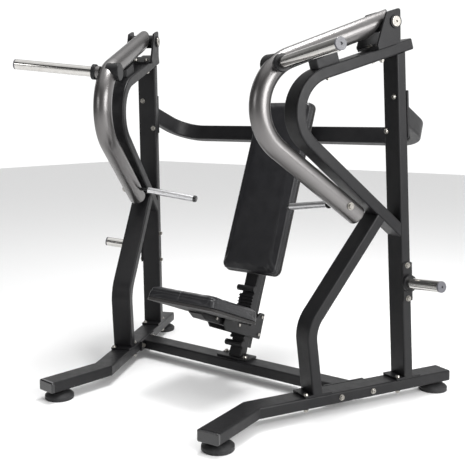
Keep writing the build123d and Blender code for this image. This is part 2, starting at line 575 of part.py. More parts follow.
# ---- storage horns -------------------------------------------------------------------
store_u = upright_u(STORE_Z) - TUBE_H / 2
STORE_RING, STORE_CAP = (58.0, 78.0), 8.0
store_axis = horn_plane(store_u, STORE_Z - tan(radians(STORE_TILT)) * TUBE_W / 2, 0.0, STORE_TILT)
store_sleeve = (STORE_RING[1], STORE_TIP_W / cos(radians(STORE_TILT)) - STORE_CAP)
with BuildPart() as storage_plates:
    plate_mid = sum(STORE_BOLT_Z) / 2
    with BuildSketch(side_at(store_u, plate_mid, TUBE_W / 2)):
        RectangleRounded(STORE_PLATE[0], STORE_PLATE[1], 5.0, rotation=-UPRIGHT_LEAN)
    extrude(amount=-STORE_PLATE[2])
    drill(store_bolt_planes, BOLT_HOLE_R, 20.0)
    disc(store_axis.offset(TUBE_W / 2 + 4), HORN_R - HORN_WALL - 0.2, 90.0)
    with BuildSketch(side_at(store_u, STORE_Z, TUBE_W / 2)):
        Rectangle(200, 200)
    extrude(amount=30, mode=Mode.SUBTRACT)
write_both("storage_plates", storage_plates.part)
with BuildPart() as storage_collars:
    disc(store_axis.offset(STORE_RING[0] + 5), HORN_COLLAR_R, STORE_RING[1] - STORE_RING[0] - 5)
    fillet(edges().filter_by(GeomType.CIRCLE), 2.0)
    disc(store_axis.offset(STORE_RING[0] - 10), HORN_R - HORN_WALL - 0.2, 60.0, mode=Mode.SUBTRACT)
write_both("storage_collars", storage_collars.part)
with BuildPart() as storage_sleeves:
    disc(store_axis.offset(store_sleeve[0]), HORN_R, store_sleeve[1] - store_sleeve[0])
    disc(store_axis.offset(store_sleeve[0]), HORN_R - HORN_WALL, store_sleeve[1] - store_sleeve[0],
         mode=Mode.SUBTRACT)
write_both("storage_sleeves", storage_sleeves.part)
with BuildPart() as storage_caps:
    disc(store_axis.offset(store_sleeve[1]), HORN_CAP_R, STORE_CAP)
    fillet(edges().group_by(Axis(store_axis.origin, store_axis.z_dir))[-1], 2.0)
    disc(store_axis.offset(store_sleeve[1]), HORN_R - HORN_WALL - 0.2, -20.0)
    hexagon(store_axis.offset(store_sleeve[1] + STORE_CAP), 6.0, -5.0, mode=Mode.SUBTRACT)
write_both("storage_caps", storage_caps.part)

# ---- cross-member and post -----------------------------------------------------------
cross_mid_u = -(CROSS_Y + TUBE_W / 2 * TOE_SIN) / TOE_COS
with BuildPart() as cross_member:
    with BuildSketch(Plane(origin=(0, REAR_Y + CROSS_Y, MID_Z), x_dir=(0, 1, 0), z_dir=(1, 0, 0))):
        tube_section()
    extrude(amount=REAR_X, both=True)
    for keep_out in (1, -1):
        cut = side_plane(-TUBE_W / 2 - PLATE)
        if keep_out < 0:
            cut = Plane(origin=(-cut.origin.X, cut.origin.Y, cut.origin.Z), x_dir=(0, 0, 1),
                        z_dir=(-cut.z_dir.X, cut.z_dir.Y, cut.z_dir.Z))
        split(bisect_by=cut, keep=Keep.TOP)
    drill(post_bolt_planes, BOLT_HOLE_R, PLATE + TUBE_H + 5)
    with BuildPart(mode=Mode.PRIVATE) as flange:
        with BuildSketch(side_plane(-TUBE_W / 2)):
            with Locations((sum(CROSS_BOLT_U) / 2, MID_Z)):
                Rectangle(CROSS_BOLT_U[1] - CROSS_BOLT_U[0] + 44, TUBE_H)
        extrude(amount=PLATE)
        drill(cross_bolt_planes, BOLT_HOLE_R, TUBE_W + PLATE + 5)
    add(flange.part)
    add(mirror(flange.part, about=Plane.YZ, mode=Mode.PRIVATE))
write("cross_member", cross_member.part)

POST_TOP_T = BAR_TOP_T + 40.0
POST_PLATE = (186.0, 84.0)
MOUNT_PLATE = (220.0, 70.0)  # plates that carry the backrest board
with BuildPart() as seat_post:
    with BuildSketch(post_cut(0).offset(-60)):
        with Locations((0, -POST_DEEP / 2)):
            tube_section(2 * POST_X, POST_DEEP)
    extrude(amount=60 - POST_TOP_T)
    with BuildSketch(Plane.XY.offset(PLATE_TOP)):
        Rectangle(400, 4000)
    extrude(amount=-300, mode=Mode.SUBTRACT)
    with BuildSketch(Plane(origin=(0, REAR_Y + CROSS_Y + 11, RAIL_TOP))):
        RectangleRounded(*POST_PLATE, 4.0)
    extrude(amount=PLATE)
    with BuildSketch(post_face(-POST_DEEP)):
        with Locations((0, BAR_T)):
            RectangleRounded(2 * JOINT_BOLT_X + 40, BAR_TALL, 4.0)
    extrude(amount=-PLATE)
    for mount_t in BACK_MOUNTS:
        with BuildSketch(post_face(0)):
            with Locations((0, mount_t)):
                RectangleRounded(*MOUNT_PLATE, 6)
        extrude(amount=BOARD_N)
    drill(post_bolt_planes, BOLT_HOLE_R, PLATE + 5)
    drill(joint_bolt_planes, BOLT_HOLE_R, PLATE + 5)
write("seat_post", seat_post.part)

# ---- crossbar ------------------------------------------------------------------------
BAR_PLATE = (1195.0, 1405.0)
upright_rear = slope_plane(upright_u(RAIL_TOP) - TUBE_H / cos(radians(UPRIGHT_LEAN)), RAIL_TOP,
                           -UPRIGHT_LEAN)
bar_plane = post_cut(BAR_T)
BAR_REACH = 330.0            # drawn length of the legs, before they are trimmed at the uprights
with BuildPart() as crossbar:
    with BuildLine(bar_plane) as bar_path:
        FilletPolyline((-BAR_LEG_X, BAR_REACH), (-BAR_LEG_X, BAR_N), (BAR_LEG_X, BAR_N),
                       (BAR_LEG_X, BAR_REACH), radius=BAR_BEND)
    with BuildSketch(Plane(origin=bar_plane.from_local_coords((-BAR_LEG_X, BAR_REACH, 0)),
                           x_dir=ACROSS, z_dir=-POST_N)):
        tube_section(BAR_DEEP, BAR_TALL)
    sweep(path=bar_path.line)
    with BuildPart(mode=Mode.PRIVATE) as beyond:
        with BuildSketch(upright_rear.offset(-PLATE)):
            Rectangle(2 * BAR_REACH, 4 * BAR_T)
        extrude(amount=2 * BAR_REACH)
    with BuildPart(mode=Mode.PRIVATE) as bar_flange:
        with BuildSketch(upright_rear):
            with Locations((0, (sum(BAR_PLATE) / 2 - RAIL_TOP) / cos(radians(UPRIGHT_LEAN)))):
                RectangleRounded(TUBE_W, BAR_PLATE[1] - BAR_PLATE[0], 5.0)
        extrude(amount=-PLATE)
        drill(bar_bolt_planes, BOLT_HOLE_R, TUBE_H + PLATE + 10)
    for tool, mode in ((beyond, Mode.SUBTRACT), (bar_flange, Mode.ADD)):
        add(tool.part, mode=mode)
        add(mirror(tool.part, about=Plane.YZ, mode=Mode.PRIVATE), mode=mode)
    drill(joint_bolt_planes, BOLT_HOLE_R, PLATE + BAR_DEEP + 5)
write("crossbar", crossbar.part)

# ---- rack and guide on the post ------------------------------------------------------
with BuildPart() as seat_rack:
    with BuildSketch(post_face(0)):
        with Locations((0, sum(RACK_T) / 2)):
            Rectangle(2 * RACK_X, RACK_T[1] - RACK_T[0])
    extrude(amount=RACK_ROOT)
    ribs = int((RACK_T[1] - RACK_T[0]) / RACK_PITCH)
    for index in range(ribs):
        rib_t = RACK_T[0] + RACK_PITCH * (index + 0.5)
        with BuildSketch(post_plane()):
            with BuildLine():
                Polyline((RACK_ROOT - 0.5, rib_t - 5), (RACK_TIP, rib_t - 3), (RACK_TIP, rib_t + 1),
                         (RACK_ROOT - 0.5, rib_t + 4), close=True)
            make_face()
        extrude(amount=RACK_X, both=True)
    for bar_t in STOP_BARS:
        disc(across_plane(STOP_BAR_N, bar_t), STOP_BAR_R, STOP_BAR_X, both=True)
    fillet(edges().filter_by(GeomType.CIRCLE), 2.0)
    with BuildSketch(post_face(0)):
        with Locations([(0, bar_t) for bar_t in STOP_BARS]):
            Rectangle(2 * POST_X - 10, 20)
    extrude(amount=STOP_BAR_N)
write("seat_rack", seat_rack.part)
with BuildPart() as seat_guide:
    with BuildSketch(post_face(-POST_DEEP)):
        with Locations((0, sum(GUIDE_T) / 2)):
            Rectangle(2 * GUIDE_X, GUIDE_T[1] - GUIDE_T[0])
    extrude(amount=GUIDE_N + POST_DEEP)
write("seat_guide", seat_guide.part)

# ---- backrest ------------------------------------------------------------------------
with BuildPart() as back_board:
    with BuildSketch(post_face(BOARD_N)):
        with Locations((0, sum(BACK_T) / 2)):
            RectangleRounded(2 * BACK_X - 6, BACK_T[1] - BACK_T[0] - 6, BACK_CORNER - 3)
    extrude(amount=BOARD)
write("backrest_board", back_board.part)
with BuildPart() as back_pad:
    with BuildSketch(post_face(BOARD_N + BOARD)):
        with Locations((0, sum(BACK_T) / 2)):
            RectangleRounded(2 * BACK_X, BACK_T[1] - BACK_T[0], BACK_CORNER)
    extrude(amount=BACK_N - BOARD_N - BOARD)
    fillet(edges().group_by(Axis(POST_ORIGIN, POST_N))[-1], 15.0)
write("backrest_pad", back_pad.part)

# ---- seat ----------------------------------------------------------------------------
SEAT_BOARD_T = SEAT_T[0] - BOARD
with BuildPart() as seat_board:
    with BuildSketch(post_cut(SEAT_BOARD_T)):
        with Locations((0, sum(SEAT_N) / 2)):
            RectangleRounded(2 * SEAT_X - 6, SEAT_N[1] - SEAT_N[0] - 6, SEAT_CORNER - 3)
    extrude(amount=-BOARD)
write("seat_board", seat_board.part)
with BuildPart() as seat_pad:
    with BuildSketch(post_cut(SEAT_T[0])):
        with Locations((0, sum(SEAT_N) / 2)):
            RectangleRounded(2 * SEAT_X, SEAT_N[1] - SEAT_N[0], SEAT_CORNER)
    extrude(amount=-(SEAT_T[1] - SEAT_T[0]))
    fillet(edges().group_by(Axis(POST_ORIGIN, POST_T))[-1], 15.0)
write("seat_pad", seat_pad.part)

TUBE_N = (40.0, 385.0)
TUBE_T = (240.0, 267.0)
CARRIAGE_TUBE_X = 38.0
SIDE_T, SIDE_N = (221.0, 272.0), (-112.0, 215.0)
SIDE_STEP, SIDE_REAR = (-8.0, -74.0), 350.0          # the side plates rise behind the post
AXLE_R = 5.0
ROLLER_N = GUIDE_N - 0.3 - ROLLER_R
SEAT_BOLTS = ((88.0, CARRIAGE_IN + CARRIAGE_T), (262.0, CARRIAGE_TUBE_X))    # n and face
with BuildPart() as seat_carriage:
    with BuildSketch(post_plane()):
        with BuildLine():
            Polyline((TUBE_N[0], TUBE_T[0]), (TUBE_N[1] - 40, TUBE_T[0]), (TUBE_N[1], TUBE_T[1] - 8),
                     (TUBE_N[1], TUBE_T[1]), (TUBE_N[0], TUBE_T[1]), close=True)
        make_face()
    extrude(amount=CARRIAGE_TUBE_X, both=True)
    with BuildSketch(Plane(origin=post_plane().from_local_coords((TUBE_N[0], sum(TUBE_T) / 2, 0)),
                           x_dir=ACROSS, z_dir=POST_N)):
        Rectangle(2 * (CARRIAGE_TUBE_X - WALL), TUBE_T[1] - TUBE_T[0] - 2 * WALL)
    extrude(amount=TUBE_N[1] - TUBE_N[0] - 60, mode=Mode.SUBTRACT)
    for side in (-1, 1):
        with BuildSketch(post_plane().offset(side * (CARRIAGE_IN + CARRIAGE_T / 2))) as cheek:
            with BuildLine():
                FilletPolyline((SIDE_N[0], SIDE_T[0]), (SIDE_N[1] - 30, SIDE_T[0]),
                               (SIDE_N[1], SIDE_T[0] + 24), (SIDE_N[1], SIDE_T[1]),
                               (SIDE_STEP[0], SIDE_T[1]), (SIDE_STEP[1], SIDE_REAR),
                               (SIDE_N[0], SIDE_REAR), radius=8, close=True)
            make_face()
        extrude(amount=CARRIAGE_T / 2, both=True)
    with BuildSketch(post_cut(TUBE_T[1])):
        with Locations(((0, (TUBE_N[0] + SIDE_N[1] - 10) / 2))):
            Rectangle(2 * CARRIAGE_IN + CARRIAGE_T, SIDE_N[1] - 10 - TUBE_N[0])
    extrude(amount=-(SEAT_BOARD_T - TUBE_T[1]))
    for roller_t in ROLLER_T:
        disc(across_plane(ROLLER_N, roller_t), AXLE_R, 80.0, both=True, mode=Mode.SUBTRACT)
write("seat_carriage", seat_carriage.part)
with BuildPart() as rollers:
    for roller_t in ROLLER_T:
        axle = across_plane(ROLLER_N, roller_t)
        disc(axle, ROLLER_R, GUIDE_X, both=True)
        disc(axle, AXLE_R + 0.2, GUIDE_X + 1, both=True, mode=Mode.SUBTRACT)
write("carriage_rollers", rollers.part)
with BuildPart() as carriage_pins:
    for roller_t in ROLLER_T:
        axle = across_plane(ROLLER_N, roller_t)
        disc(axle, AXLE_R, CARRIAGE_IN + CARRIAGE_T, both=True)
        for side in (-1, 1):
            disc(axle.offset(side * (CARRIAGE_IN + CARRIAGE_T)), 8.0, side * 4.0)
    for bolt_n, face_x in SEAT_BOLTS:
        middle = across_plane(bolt_n, SIDE_T[1] - 11)
        for side in (-1, 1):
            disc(middle.offset(side * face_x), 7.0, side * 4.0)
write("carriage_pins", carriage_pins.part)
LATCH_T, LATCH_N = (242.0, 262.0), (RACK_TIP + 0.6, 30.0, TUBE_N[0] - 2)
LATCH_NOSE = (250.0, 254.0)
with BuildPart() as latch:
    with BuildSketch(post_plane()):
        with BuildLine():
            Polyline((LATCH_N[0], LATCH_NOSE[0]), (LATCH_N[0], LATCH_NOSE[1]), (LATCH_N[1], LATCH_T[1]),
                     (LATCH_N[2], LATCH_T[1]), (LATCH_N[2], LATCH_T[0]), (LATCH_N[1], LATCH_T[0]),
                     close=True)
        make_face()
    extrude(amount=CARRIAGE_IN - 0.5, both=True)
write("seat_latch", latch.part)

# ---- plastic end caps ----------------------------------------------------------------
def end_cap(place, length, width=TUBE_W, height=TUBE_H, inset=WALL + 0.5):
    """Rounded plug on the end of a tube, in the open part; the plane's normal leaves the tube."""
    with BuildSketch(place) as lid:
        RectangleRounded(width, height, TUBE_CORNER)
    extrude(lid.sketch, amount=length)
    fillet(edges(Select.LAST).group_by(Axis(place.origin, place.z_dir))[-1], length * 0.45)
    with BuildSketch(place) as plug:
        RectangleRounded(width - 2 * inset, height - 2 * inset, TUBE_CORNER - WALL)
    extrude(plug.sketch, amount=-20.0)


beam_end = slope_plane(BEAM_REAR_U, beam_rear_z, -BEAM_FALL)
with BuildPart() as tube_caps:
    end_cap(Plane(origin=side_point(CAP / 2, MID_Z), x_dir=OUT, z_dir=-FORWARD), CAP / 2)
    end_cap(Plane(origin=rail_front, x_dir=front_along.cross(UP), z_dir=front_along), CAP)
    end_cap(Plane(origin=beam_end.origin, x_dir=OUT, z_dir=-beam_end.z_dir), BEAM_CAP)
    mirror(about=Plane.YZ)
    end_cap(Plane(origin=post_cut(POST_TOP_T).from_local_coords((0, -POST_DEEP / 2, 0)), x_dir=ACROSS,
                  z_dir=POST_T), 5.0, 2 * POST_X, POST_DEEP)
write("tube_end_caps", tube_caps.part)

# ---- fasteners -----------------------------------------------------------------------
with BuildPart() as base_bolts:
    for place in rail_bolt_planes:
        bolt(place, PLATE + TUBE_H)
    for place in cross_bolt_planes:
        bolt(place, TUBE_W + PLATE)
write_both("base_bolts", base_bolts.part)
with BuildPart() as frame_bolts:
    for place in bar_bolt_planes:
        bolt(place, TUBE_H + PLATE)
    for place in bracket_bolt_planes:
        bolt(place, TUBE_H + PLATE)
    for place in store_bolt_planes:
        bolt(place, TUBE_W + STORE_PLATE[2])
    disc(stop_bolt_plane.offset(12.0), BOLT_R, -TUBE_H - 12 - 13)
    hexagon(stop_bolt_plane.offset(-TUBE_H), 10.5, -10.0)
write_both("frame_bolts", frame_bolts.part)
with BuildPart() as post_bolts:
    for place in post_bolt_planes:
        bolt(place, PLATE + TUBE_H)
    for place in joint_bolt_planes:
        bolt(place, PLATE + BAR_DEEP)
write("post_bolts", post_bolts.part)
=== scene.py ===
"""Looks of the plate-loaded chest press machine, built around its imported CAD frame, in metres."""
import json
import math

import bmesh
import bpy
from mathutils import Matrix, Vector


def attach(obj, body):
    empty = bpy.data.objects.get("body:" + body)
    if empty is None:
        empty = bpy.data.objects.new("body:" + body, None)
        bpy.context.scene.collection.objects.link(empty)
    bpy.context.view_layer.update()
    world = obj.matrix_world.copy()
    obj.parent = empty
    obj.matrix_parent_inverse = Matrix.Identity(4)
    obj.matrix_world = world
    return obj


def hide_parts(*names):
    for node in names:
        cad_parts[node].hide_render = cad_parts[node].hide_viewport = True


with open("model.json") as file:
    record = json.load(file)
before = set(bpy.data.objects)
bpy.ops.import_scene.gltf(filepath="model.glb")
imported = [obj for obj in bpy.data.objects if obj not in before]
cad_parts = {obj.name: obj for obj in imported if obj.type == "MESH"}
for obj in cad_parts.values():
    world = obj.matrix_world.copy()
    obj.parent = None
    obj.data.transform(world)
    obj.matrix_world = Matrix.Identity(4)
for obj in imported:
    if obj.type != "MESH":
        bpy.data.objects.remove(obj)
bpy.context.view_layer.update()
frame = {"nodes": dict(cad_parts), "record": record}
nodes = frame["nodes"]

# ---- directions of the leaning post --------------------------------------------------
POST_LEAN = math.radians(21.5)
POST_T = Vector((0, math.sin(POST_LEAN), math.cos(POST_LEAN)))      # up along the post
POST_N = Vector((0, -math.cos(POST_LEAN), math.sin(POST_LEAN)))     # out of its front face
ACROSS = Vector((1, 0, 0))

SKY_STRENGTH = 1.08

# ---- upholstery sizes ----------------------------------------------------------------
VOXEL = 0.006                       # edge of the cover's first faces
SHRINK = 0.003                      # how far the cover starts inside the CAD pad
SWELL = 0.006                       # furthest that the cloth may bulge
HELD = 0.007                        # height above the board up to which the cloth is held
CLOTH_FRAMES = 20
CORNERS = {"seat_pad": 0.034, "backrest_pad": 0.038}
SEAM_DROP = 0.017                   # border seam under the pad's top face
SEAM_WIDTH = 0.006
BORDER_DEPTH = 0.0022
CENTRE_DEPTH = 0.003
CENTRE_REACH = 0.03                 # the seat's centre seam stays this close to its front face
WALL_REACH = 0.045                  # how far in from the side walls the border seam is pressed
STITCH_STEP = 0.008                 # spacing of the points that the stitches follow
STITCH_DROP = 0.005                 # stitches under the border seam

# ---- camera, floor and light ---------------------------------------------------------
def make_camera():
    """Camera at the right front of the machine, looking inwards and slightly down."""
    camera = bpy.data.objects.new("camera", bpy.data.cameras.new("camera"))
    camera.location = (2.274, -2.928, 1.290)
    camera.rotation_euler = (math.radians(85.08), 0, math.radians(37.45))
    camera.data.lens = 60.64
    camera.data.sensor_width = 36
    camera.data.shift_x = 0.0178
    camera.data.shift_y = -0.1047
    bpy.context.scene.collection.objects.link(camera)
    bpy.context.scene.camera = camera


def make_area(name, location, aim, size, energy):
    """Soft square light that faces a point."""
    light = bpy.data.lights.new(name, "AREA")
    light.shape = "SQUARE"
    light.size = size
    light.energy = energy
    obj = bpy.data.objects.new(name, light)
    obj.location = location
    obj.rotation_euler = (Vector(aim) - Vector(location)).to_track_quat("-Z", "Y").to_euler()
    bpy.context.scene.collection.objects.link(obj)


def make_sky():
    """Pale surroundings, dimmer to the front left and above the horizon, bright again overhead."""
    world = bpy.data.worlds.new("studio")
    bpy.context.scene.world = world
    world.use_nodes = True
    tree = world.node_tree
    background = tree.nodes["Background"]
    direction = tree.nodes.new("ShaderNodeTexCoord").outputs["Generated"]
    for name, toward, low, high, below, above in (
            ("side", (-0.45, -0.89, 0.0), 0.0, 0.5, 1.0, 0.12),
            ("band", (0.0, 0.0, 1.0), 0.30, 0.45, 1.0, 0.30),
            ("overhead", (0.0, 0.0, 1.0), 0.62, 0.80, 0.0, 0.80)):
        dot = tree.nodes.new("ShaderNodeVectorMath")
        dot.operation = "DOT_PRODUCT"
        dot.inputs[1].default_value = toward
        tree.links.new(direction, dot.inputs[0])
        ramp = tree.nodes.new("ShaderNodeMapRange")
        ramp.interpolation_type = "SMOOTHSTEP"
        for key, number in (("From Min", low), ("From Max", high), ("To Min", below), ("To Max", above)):
            ramp.inputs[key].default_value = number
        tree.links.new(dot.outputs["Value"], ramp.inputs["Value"])
        ramp.name = name
    sky = tree.nodes.new("ShaderNodeMath")
    sky.operation = "MULTIPLY_ADD"
    for index, name in enumerate(("side", "band", "overhead")):
        tree.links.new(tree.nodes[name].outputs["Result"], sky.inputs[index])
    strength = tree.nodes.new("ShaderNodeMath")
    strength.operation = "MULTIPLY"
    strength.inputs[1].default_value = SKY_STRENGTH
    tree.links.new(sky.outputs["Value"], strength.inputs[0])
    background.inputs["Color"].default_value = (1, 1, 1, 1)
    tree.links.new(strength.outputs["Value"], background.inputs["Strength"])


def make_floor():
    """Plain pale floor that isn't part of the machine."""
    mesh = bpy.data.meshes.new("floor")
    reach = 14.0
    mesh.from_pydata([(-reach, -reach, 0), (reach, -reach, 0), (reach, reach, 0), (-reach, reach, 0)], [],
                     [(0, 1, 2, 3)])
    floor = bpy.data.objects.new("floor", mesh)
    bpy.context.scene.collection.objects.link(floor)
    material = bpy.data.materials.new("floor")
    material.use_nodes = True
    shader = material.node_tree.nodes["Principled BSDF"]
    shader.inputs["Base Color"].default_value = (0.95, 0.95, 0.95, 1)
    shader.inputs["Roughness"].default_value = 0.7
    mesh.materials.append(material)


def make_studio():
    """Floor, surroundings and three soft lights, shown without a film curve."""
    bpy.context.scene.view_settings.view_transform = "Standard"
    make_sky()
    make_floor()
    make_area("key", (4.4, -0.6, 2.4), (0.3, 0, 0.9), 3.0, 210)
    make_area("top", (0.2, 0.4, 4.6), (0, 0, 0.6), 1.4, 110)
    make_area("fill", (-1.4, -5.0, 2.4), (0, 0, 0.9), 1.6, 30)


# ---- material tools ------------------------------------------------------------------
class Shader:
    """Small helper around one node material."""

    def __init__(self, name, roughness, metallic=0.0, specular=0.5, coat=0.0,
                 coat_roughness=0.1, sheen=0.0):
        self.material = bpy.data.materials.new(name)
        self.material.use_nodes = True
        self.tree = self.material.node_tree
        self.bsdf = self.tree.nodes["Principled BSDF"]
        self.bsdf.inputs["Roughness"].default_value = roughness
        self.bsdf.inputs["Metallic"].default_value = metallic
        self.bsdf.inputs["Specular IOR Level"].default_value = specular
        self.bsdf.inputs["Coat Weight"].default_value = coat
        self.bsdf.inputs["Coat Roughness"].default_value = coat_roughness
        self.bsdf.inputs["Sheen Weight"].default_value = sheen
        self.place = self.tree.nodes.new("ShaderNodeTexCoord").outputs["Object"]
        self.height = None

    def node(self, kind, **values):
        made = self.tree.nodes.new(kind)
        for key, value in values.items():
            setattr(made, key, value)
        return made

    def link(self, source, target):
        self.tree.links.new(source, target)

    def stretch(self, scale):
        """Object coordinates stretched along the axes."""
        mapping = self.node("ShaderNodeMapping")
        mapping.inputs["Scale"].default_value = scale
        self.link(self.place, mapping.inputs["Vector"])
        return mapping.outputs["Vector"]

    def noise(self, scale, detail=4.0, roughness=0.6, vector=None):
        made = self.node("ShaderNodeTexNoise")
        made.inputs["Scale"].default_value = scale
        made.inputs["Detail"].default_value = detail
        made.inputs["Roughness"].default_value = roughness
        self.link(vector or self.place, made.inputs["Vector"])
        return made.outputs["Fac"]

    def cells(self, scale, feature="F1", vector=None):
        made = self.node("ShaderNodeTexVoronoi", feature=feature)
        made.inputs["Scale"].default_value = scale
        self.link(vector or self.place, made.inputs["Vector"])
        return made.outputs["Distance"]

    def ramp(self, value, low, high, out_low, out_high):
        """Value between low and high mapped to out_low and out_high."""
        made = self.node("ShaderNodeMapRange")
        for key, number in (("From Min", low), ("From Max", high), ("To Min", out_low), ("To Max", out_high)):
            made.inputs[key].default_value = number
        self.link(value, made.inputs["Value"])
        return made.outputs["Result"]

    def colour(self, value, dark, light, low=0.3, high=0.7):
        """Base colour between two colours."""
        made = self.node("ShaderNodeMix", data_type="RGBA")
        self.link(self.ramp(value, low, high, 0.0, 1.0), made.inputs["Factor"])
        made.inputs["A"].default_value = (*dark, 1)
        made.inputs["B"].default_value = (*light, 1)
        self.link(made.outputs["Result"], self.bsdf.inputs["Base Color"])

    def rough(self, value, smooth, coarse, low=0.3, high=0.7):
        self.link(self.ramp(value, low, high, smooth, coarse), self.bsdf.inputs["Roughness"])

    def bump(self, value, distance, strength=1.0):
        """Adds a layer of relief; distance is its real height in metres."""
        made = self.node("ShaderNodeBump")
        made.inputs["Distance"].default_value = distance
        made.inputs["Strength"].default_value = strength
        self.link(value, made.inputs["Height"])
        if self.height:
            self.link(self.height, made.inputs["Normal"])
        self.height = made.outputs["Normal"]
        self.link(self.height, self.bsdf.inputs["Normal"])


def powder_black():
    """Satin black powder coat: fine orange peel, slight mottling and an uneven sheen."""
    made = Shader("powder_black", 0.42, specular=0.27)
    made.colour(made.noise(9.0, 5.0), (0.0055, 0.0055, 0.0065), (0.010, 0.0098, 0.0105))
    made.rough(made.noise(26.0, 6.0), 0.36, 0.47)
    made.bump(made.noise(900.0, 2.0, 0.5), 0.00006)
    made.bump(made.noise(240.0, 2.0, 0.5), 0.00008)
    return made.material


def gunmetal():
    """Metallic grey coat on the arms: fine flake, clear top layer."""
    made = Shader("gunmetal", 0.34, metallic=0.9, coat=0.35, coat_roughness=0.2)
    made.colour(made.noise(1600.0, 2.0, 0.7), (0.12, 0.115, 0.115), (0.20, 0.193, 0.19))
    made.rough(made.noise(14.0, 5.0), 0.31, 0.36)
    made.bump(made.noise(700.0, 2.0, 0.5), 0.00001)
    return made.material


def chrome():
    """Bright chrome with faint rub marks from plates."""
    made = Shader("chrome", 0.12, metallic=1.0)
    made.colour(made.noise(30.0, 4.0), (0.56, 0.545, 0.52), (0.66, 0.65, 0.63))
    rubs = made.noise(60.0, 5.0, 0.7, made.stretch((6.0, 6.0, 0.7)))
    made.rough(rubs, 0.08, 0.22, 0.4, 0.75)
    made.bump(made.noise(500.0, 2.0, 0.5), 0.00001)
    return made.material


def satin_aluminium():
    """Anodised grip: fine lines across it and a soft haze."""
    made = Shader("satin_aluminium", 0.34, metallic=1.0)
    made.colour(made.noise(120.0, 4.0), (0.60, 0.60, 0.61), (0.72, 0.72, 0.73))
    made.rough(made.noise(900.0, 2.0), 0.28, 0.42)
    made.bump(made.noise(1100.0, 2.0, 0.5, made.stretch((4.0, 0.6, 0.6))), 0.00002)
    return made.material


def bright_steel():
    """Zinc-plated fasteners: mottled sheen."""
    made = Shader("bright_steel", 0.3, metallic=1.0)
    made.colour(made.noise(220.0, 5.0), (0.28, 0.265, 0.24), (0.44, 0.425, 0.395))
    made.rough(made.noise(500.0, 4.0), 0.2, 0.38)
    made.bump(made.noise(800.0, 2.0), 0.00003)
    return made.material


def bronze():
    """Sintered bronze bush."""
    made = Shader("bronze", 0.4, metallic=1.0)
    made.colour(made.noise(300.0, 5.0), (0.36, 0.22, 0.09), (0.52, 0.34, 0.15))
    made.bump(made.cells(1500.0), 0.00003)
    return made.material


def gloss_plastic():
    """Moulded black end caps: glossy with a little moulding texture."""
    made = Shader("gloss_plastic", 0.2, specular=0.5, coat=0.3, coat_roughness=0.08)
    made.colour(made.noise(40.0, 4.0), (0.009, 0.009, 0.010), (0.014, 0.014, 0.015))
    made.rough(made.noise(60.0, 5.0), 0.14, 0.26)
    made.bump(made.noise(1200.0, 2.0), 0.00002)
    return made.material


def grey_plastic():
    """Satin grey horn caps."""
    made = Shader("grey_plastic", 0.38)
    made.colour(made.noise(60.0, 4.0), (0.075, 0.075, 0.085), (0.105, 0.105, 0.118))
    made.rough(made.noise(90.0, 4.0), 0.32, 0.45)
    made.bump(made.noise(1400.0, 2.0), 0.00003)
    return made.material


def nylon():
    """Black nylon rollers."""
    made = Shader("nylon", 0.45)
    made.colour(made.noise(80.0, 4.0), (0.02, 0.02, 0.022), (0.032, 0.032, 0.034))
    made.bump(made.noise(900.0, 2.0), 0.00003)
    return made.material


def rubber():
    """Matt black rubber with a fine pebble and dust."""
    made = Shader("rubber", 0.6, specular=0.35)
    made.colour(made.noise(35.0, 6.0), (0.012, 0.012, 0.013), (0.026, 0.026, 0.027))
    made.rough(made.noise(70.0, 5.0), 0.5, 0.72)
    made.bump(made.cells(1300.0), 0.00006)
    return made.material


def backing():
    """Plywood board wrapped in black backing cloth: woven relief."""
    made = Shader("backing", 0.8, specular=0.25, sheen=0.2)
    made.colour(made.noise(300.0, 4.0), (0.012, 0.011, 0.011), (0.026, 0.024, 0.023))
    weave = made.node("ShaderNodeTexWave", bands_direction="X")
    weave.inputs["Scale"].default_value = 260.0
    made.link(made.place, weave.inputs["Vector"])
    made.bump(weave.outputs["Fac"], 0.00012, 0.6)
    made.bump(made.noise(700.0, 3.0), 0.0001)
    return made.material


def vinyl():
    """Black upholstery vinyl: small pebble grain, creases and a worn sheen."""
    made = Shader("vinyl", 0.36, specular=0.42, coat=0.08, coat_roughness=0.3)
    made.colour(made.noise(18.0, 6.0), (0.007, 0.007, 0.0085), (0.013, 0.013, 0.015))
    made.rough(made.noise(24.0, 5.0), 0.30, 0.44)
    made.bump(made.cells(750.0, "SMOOTH_F1"), 0.00022, 0.8)
    made.bump(made.noise(1500.0, 3.0), 0.00008)
    made.bump(made.noise(30.0, 4.0, 0.7), 0.0012, 0.35)
    return made.material


def thread():
    """Twisted black stitching thread."""
    made = Shader("thread", 0.6, sheen=0.3)
    made.colour(made.noise(900.0, 3.0), (0.010, 0.010, 0.011), (0.03, 0.03, 0.032))
    made.bump(made.noise(2500.0, 2.0), 0.0001)
    return made.material


MATERIALS = {"frame_black": powder_black(), "arm_gunmetal": gunmetal(), "chrome": chrome(),
             "grip_aluminium": satin_aluminium(), "bright_steel": bright_steel(),
             "cap_plastic": gloss_plastic(), "cap_grey": grey_plastic(), "rubber": rubber(),
             "board": backing(), "bronze": bronze(), "nylon": nylon(), "pad_leather": vinyl()}


def dress_frame():
    """Gives each CAD node the detailed material of its slot."""
    for part in frame["record"]["subparts"]:
        obj = nodes[part["node"]]
        for slot in obj.material_slots:
            slot.material = MATERIALS[part["material_slot"]]


# ---- upholstery ----------------------------------------------------------------------
def pad_frame(node, base_normal):
    """A pad's own across, along and out directions, and its extent along each."""
    out = base_normal.normalized()
    along = out.cross(ACROSS).normalized()
    coords = [vertex.co for vertex in nodes[node].data.vertices]
    spans = [(min(c.dot(axis) for c in coords), max(c.dot(axis) for c in coords))
             for axis in (ACROSS, along, out)]
    return (ACROSS, along, out), spans


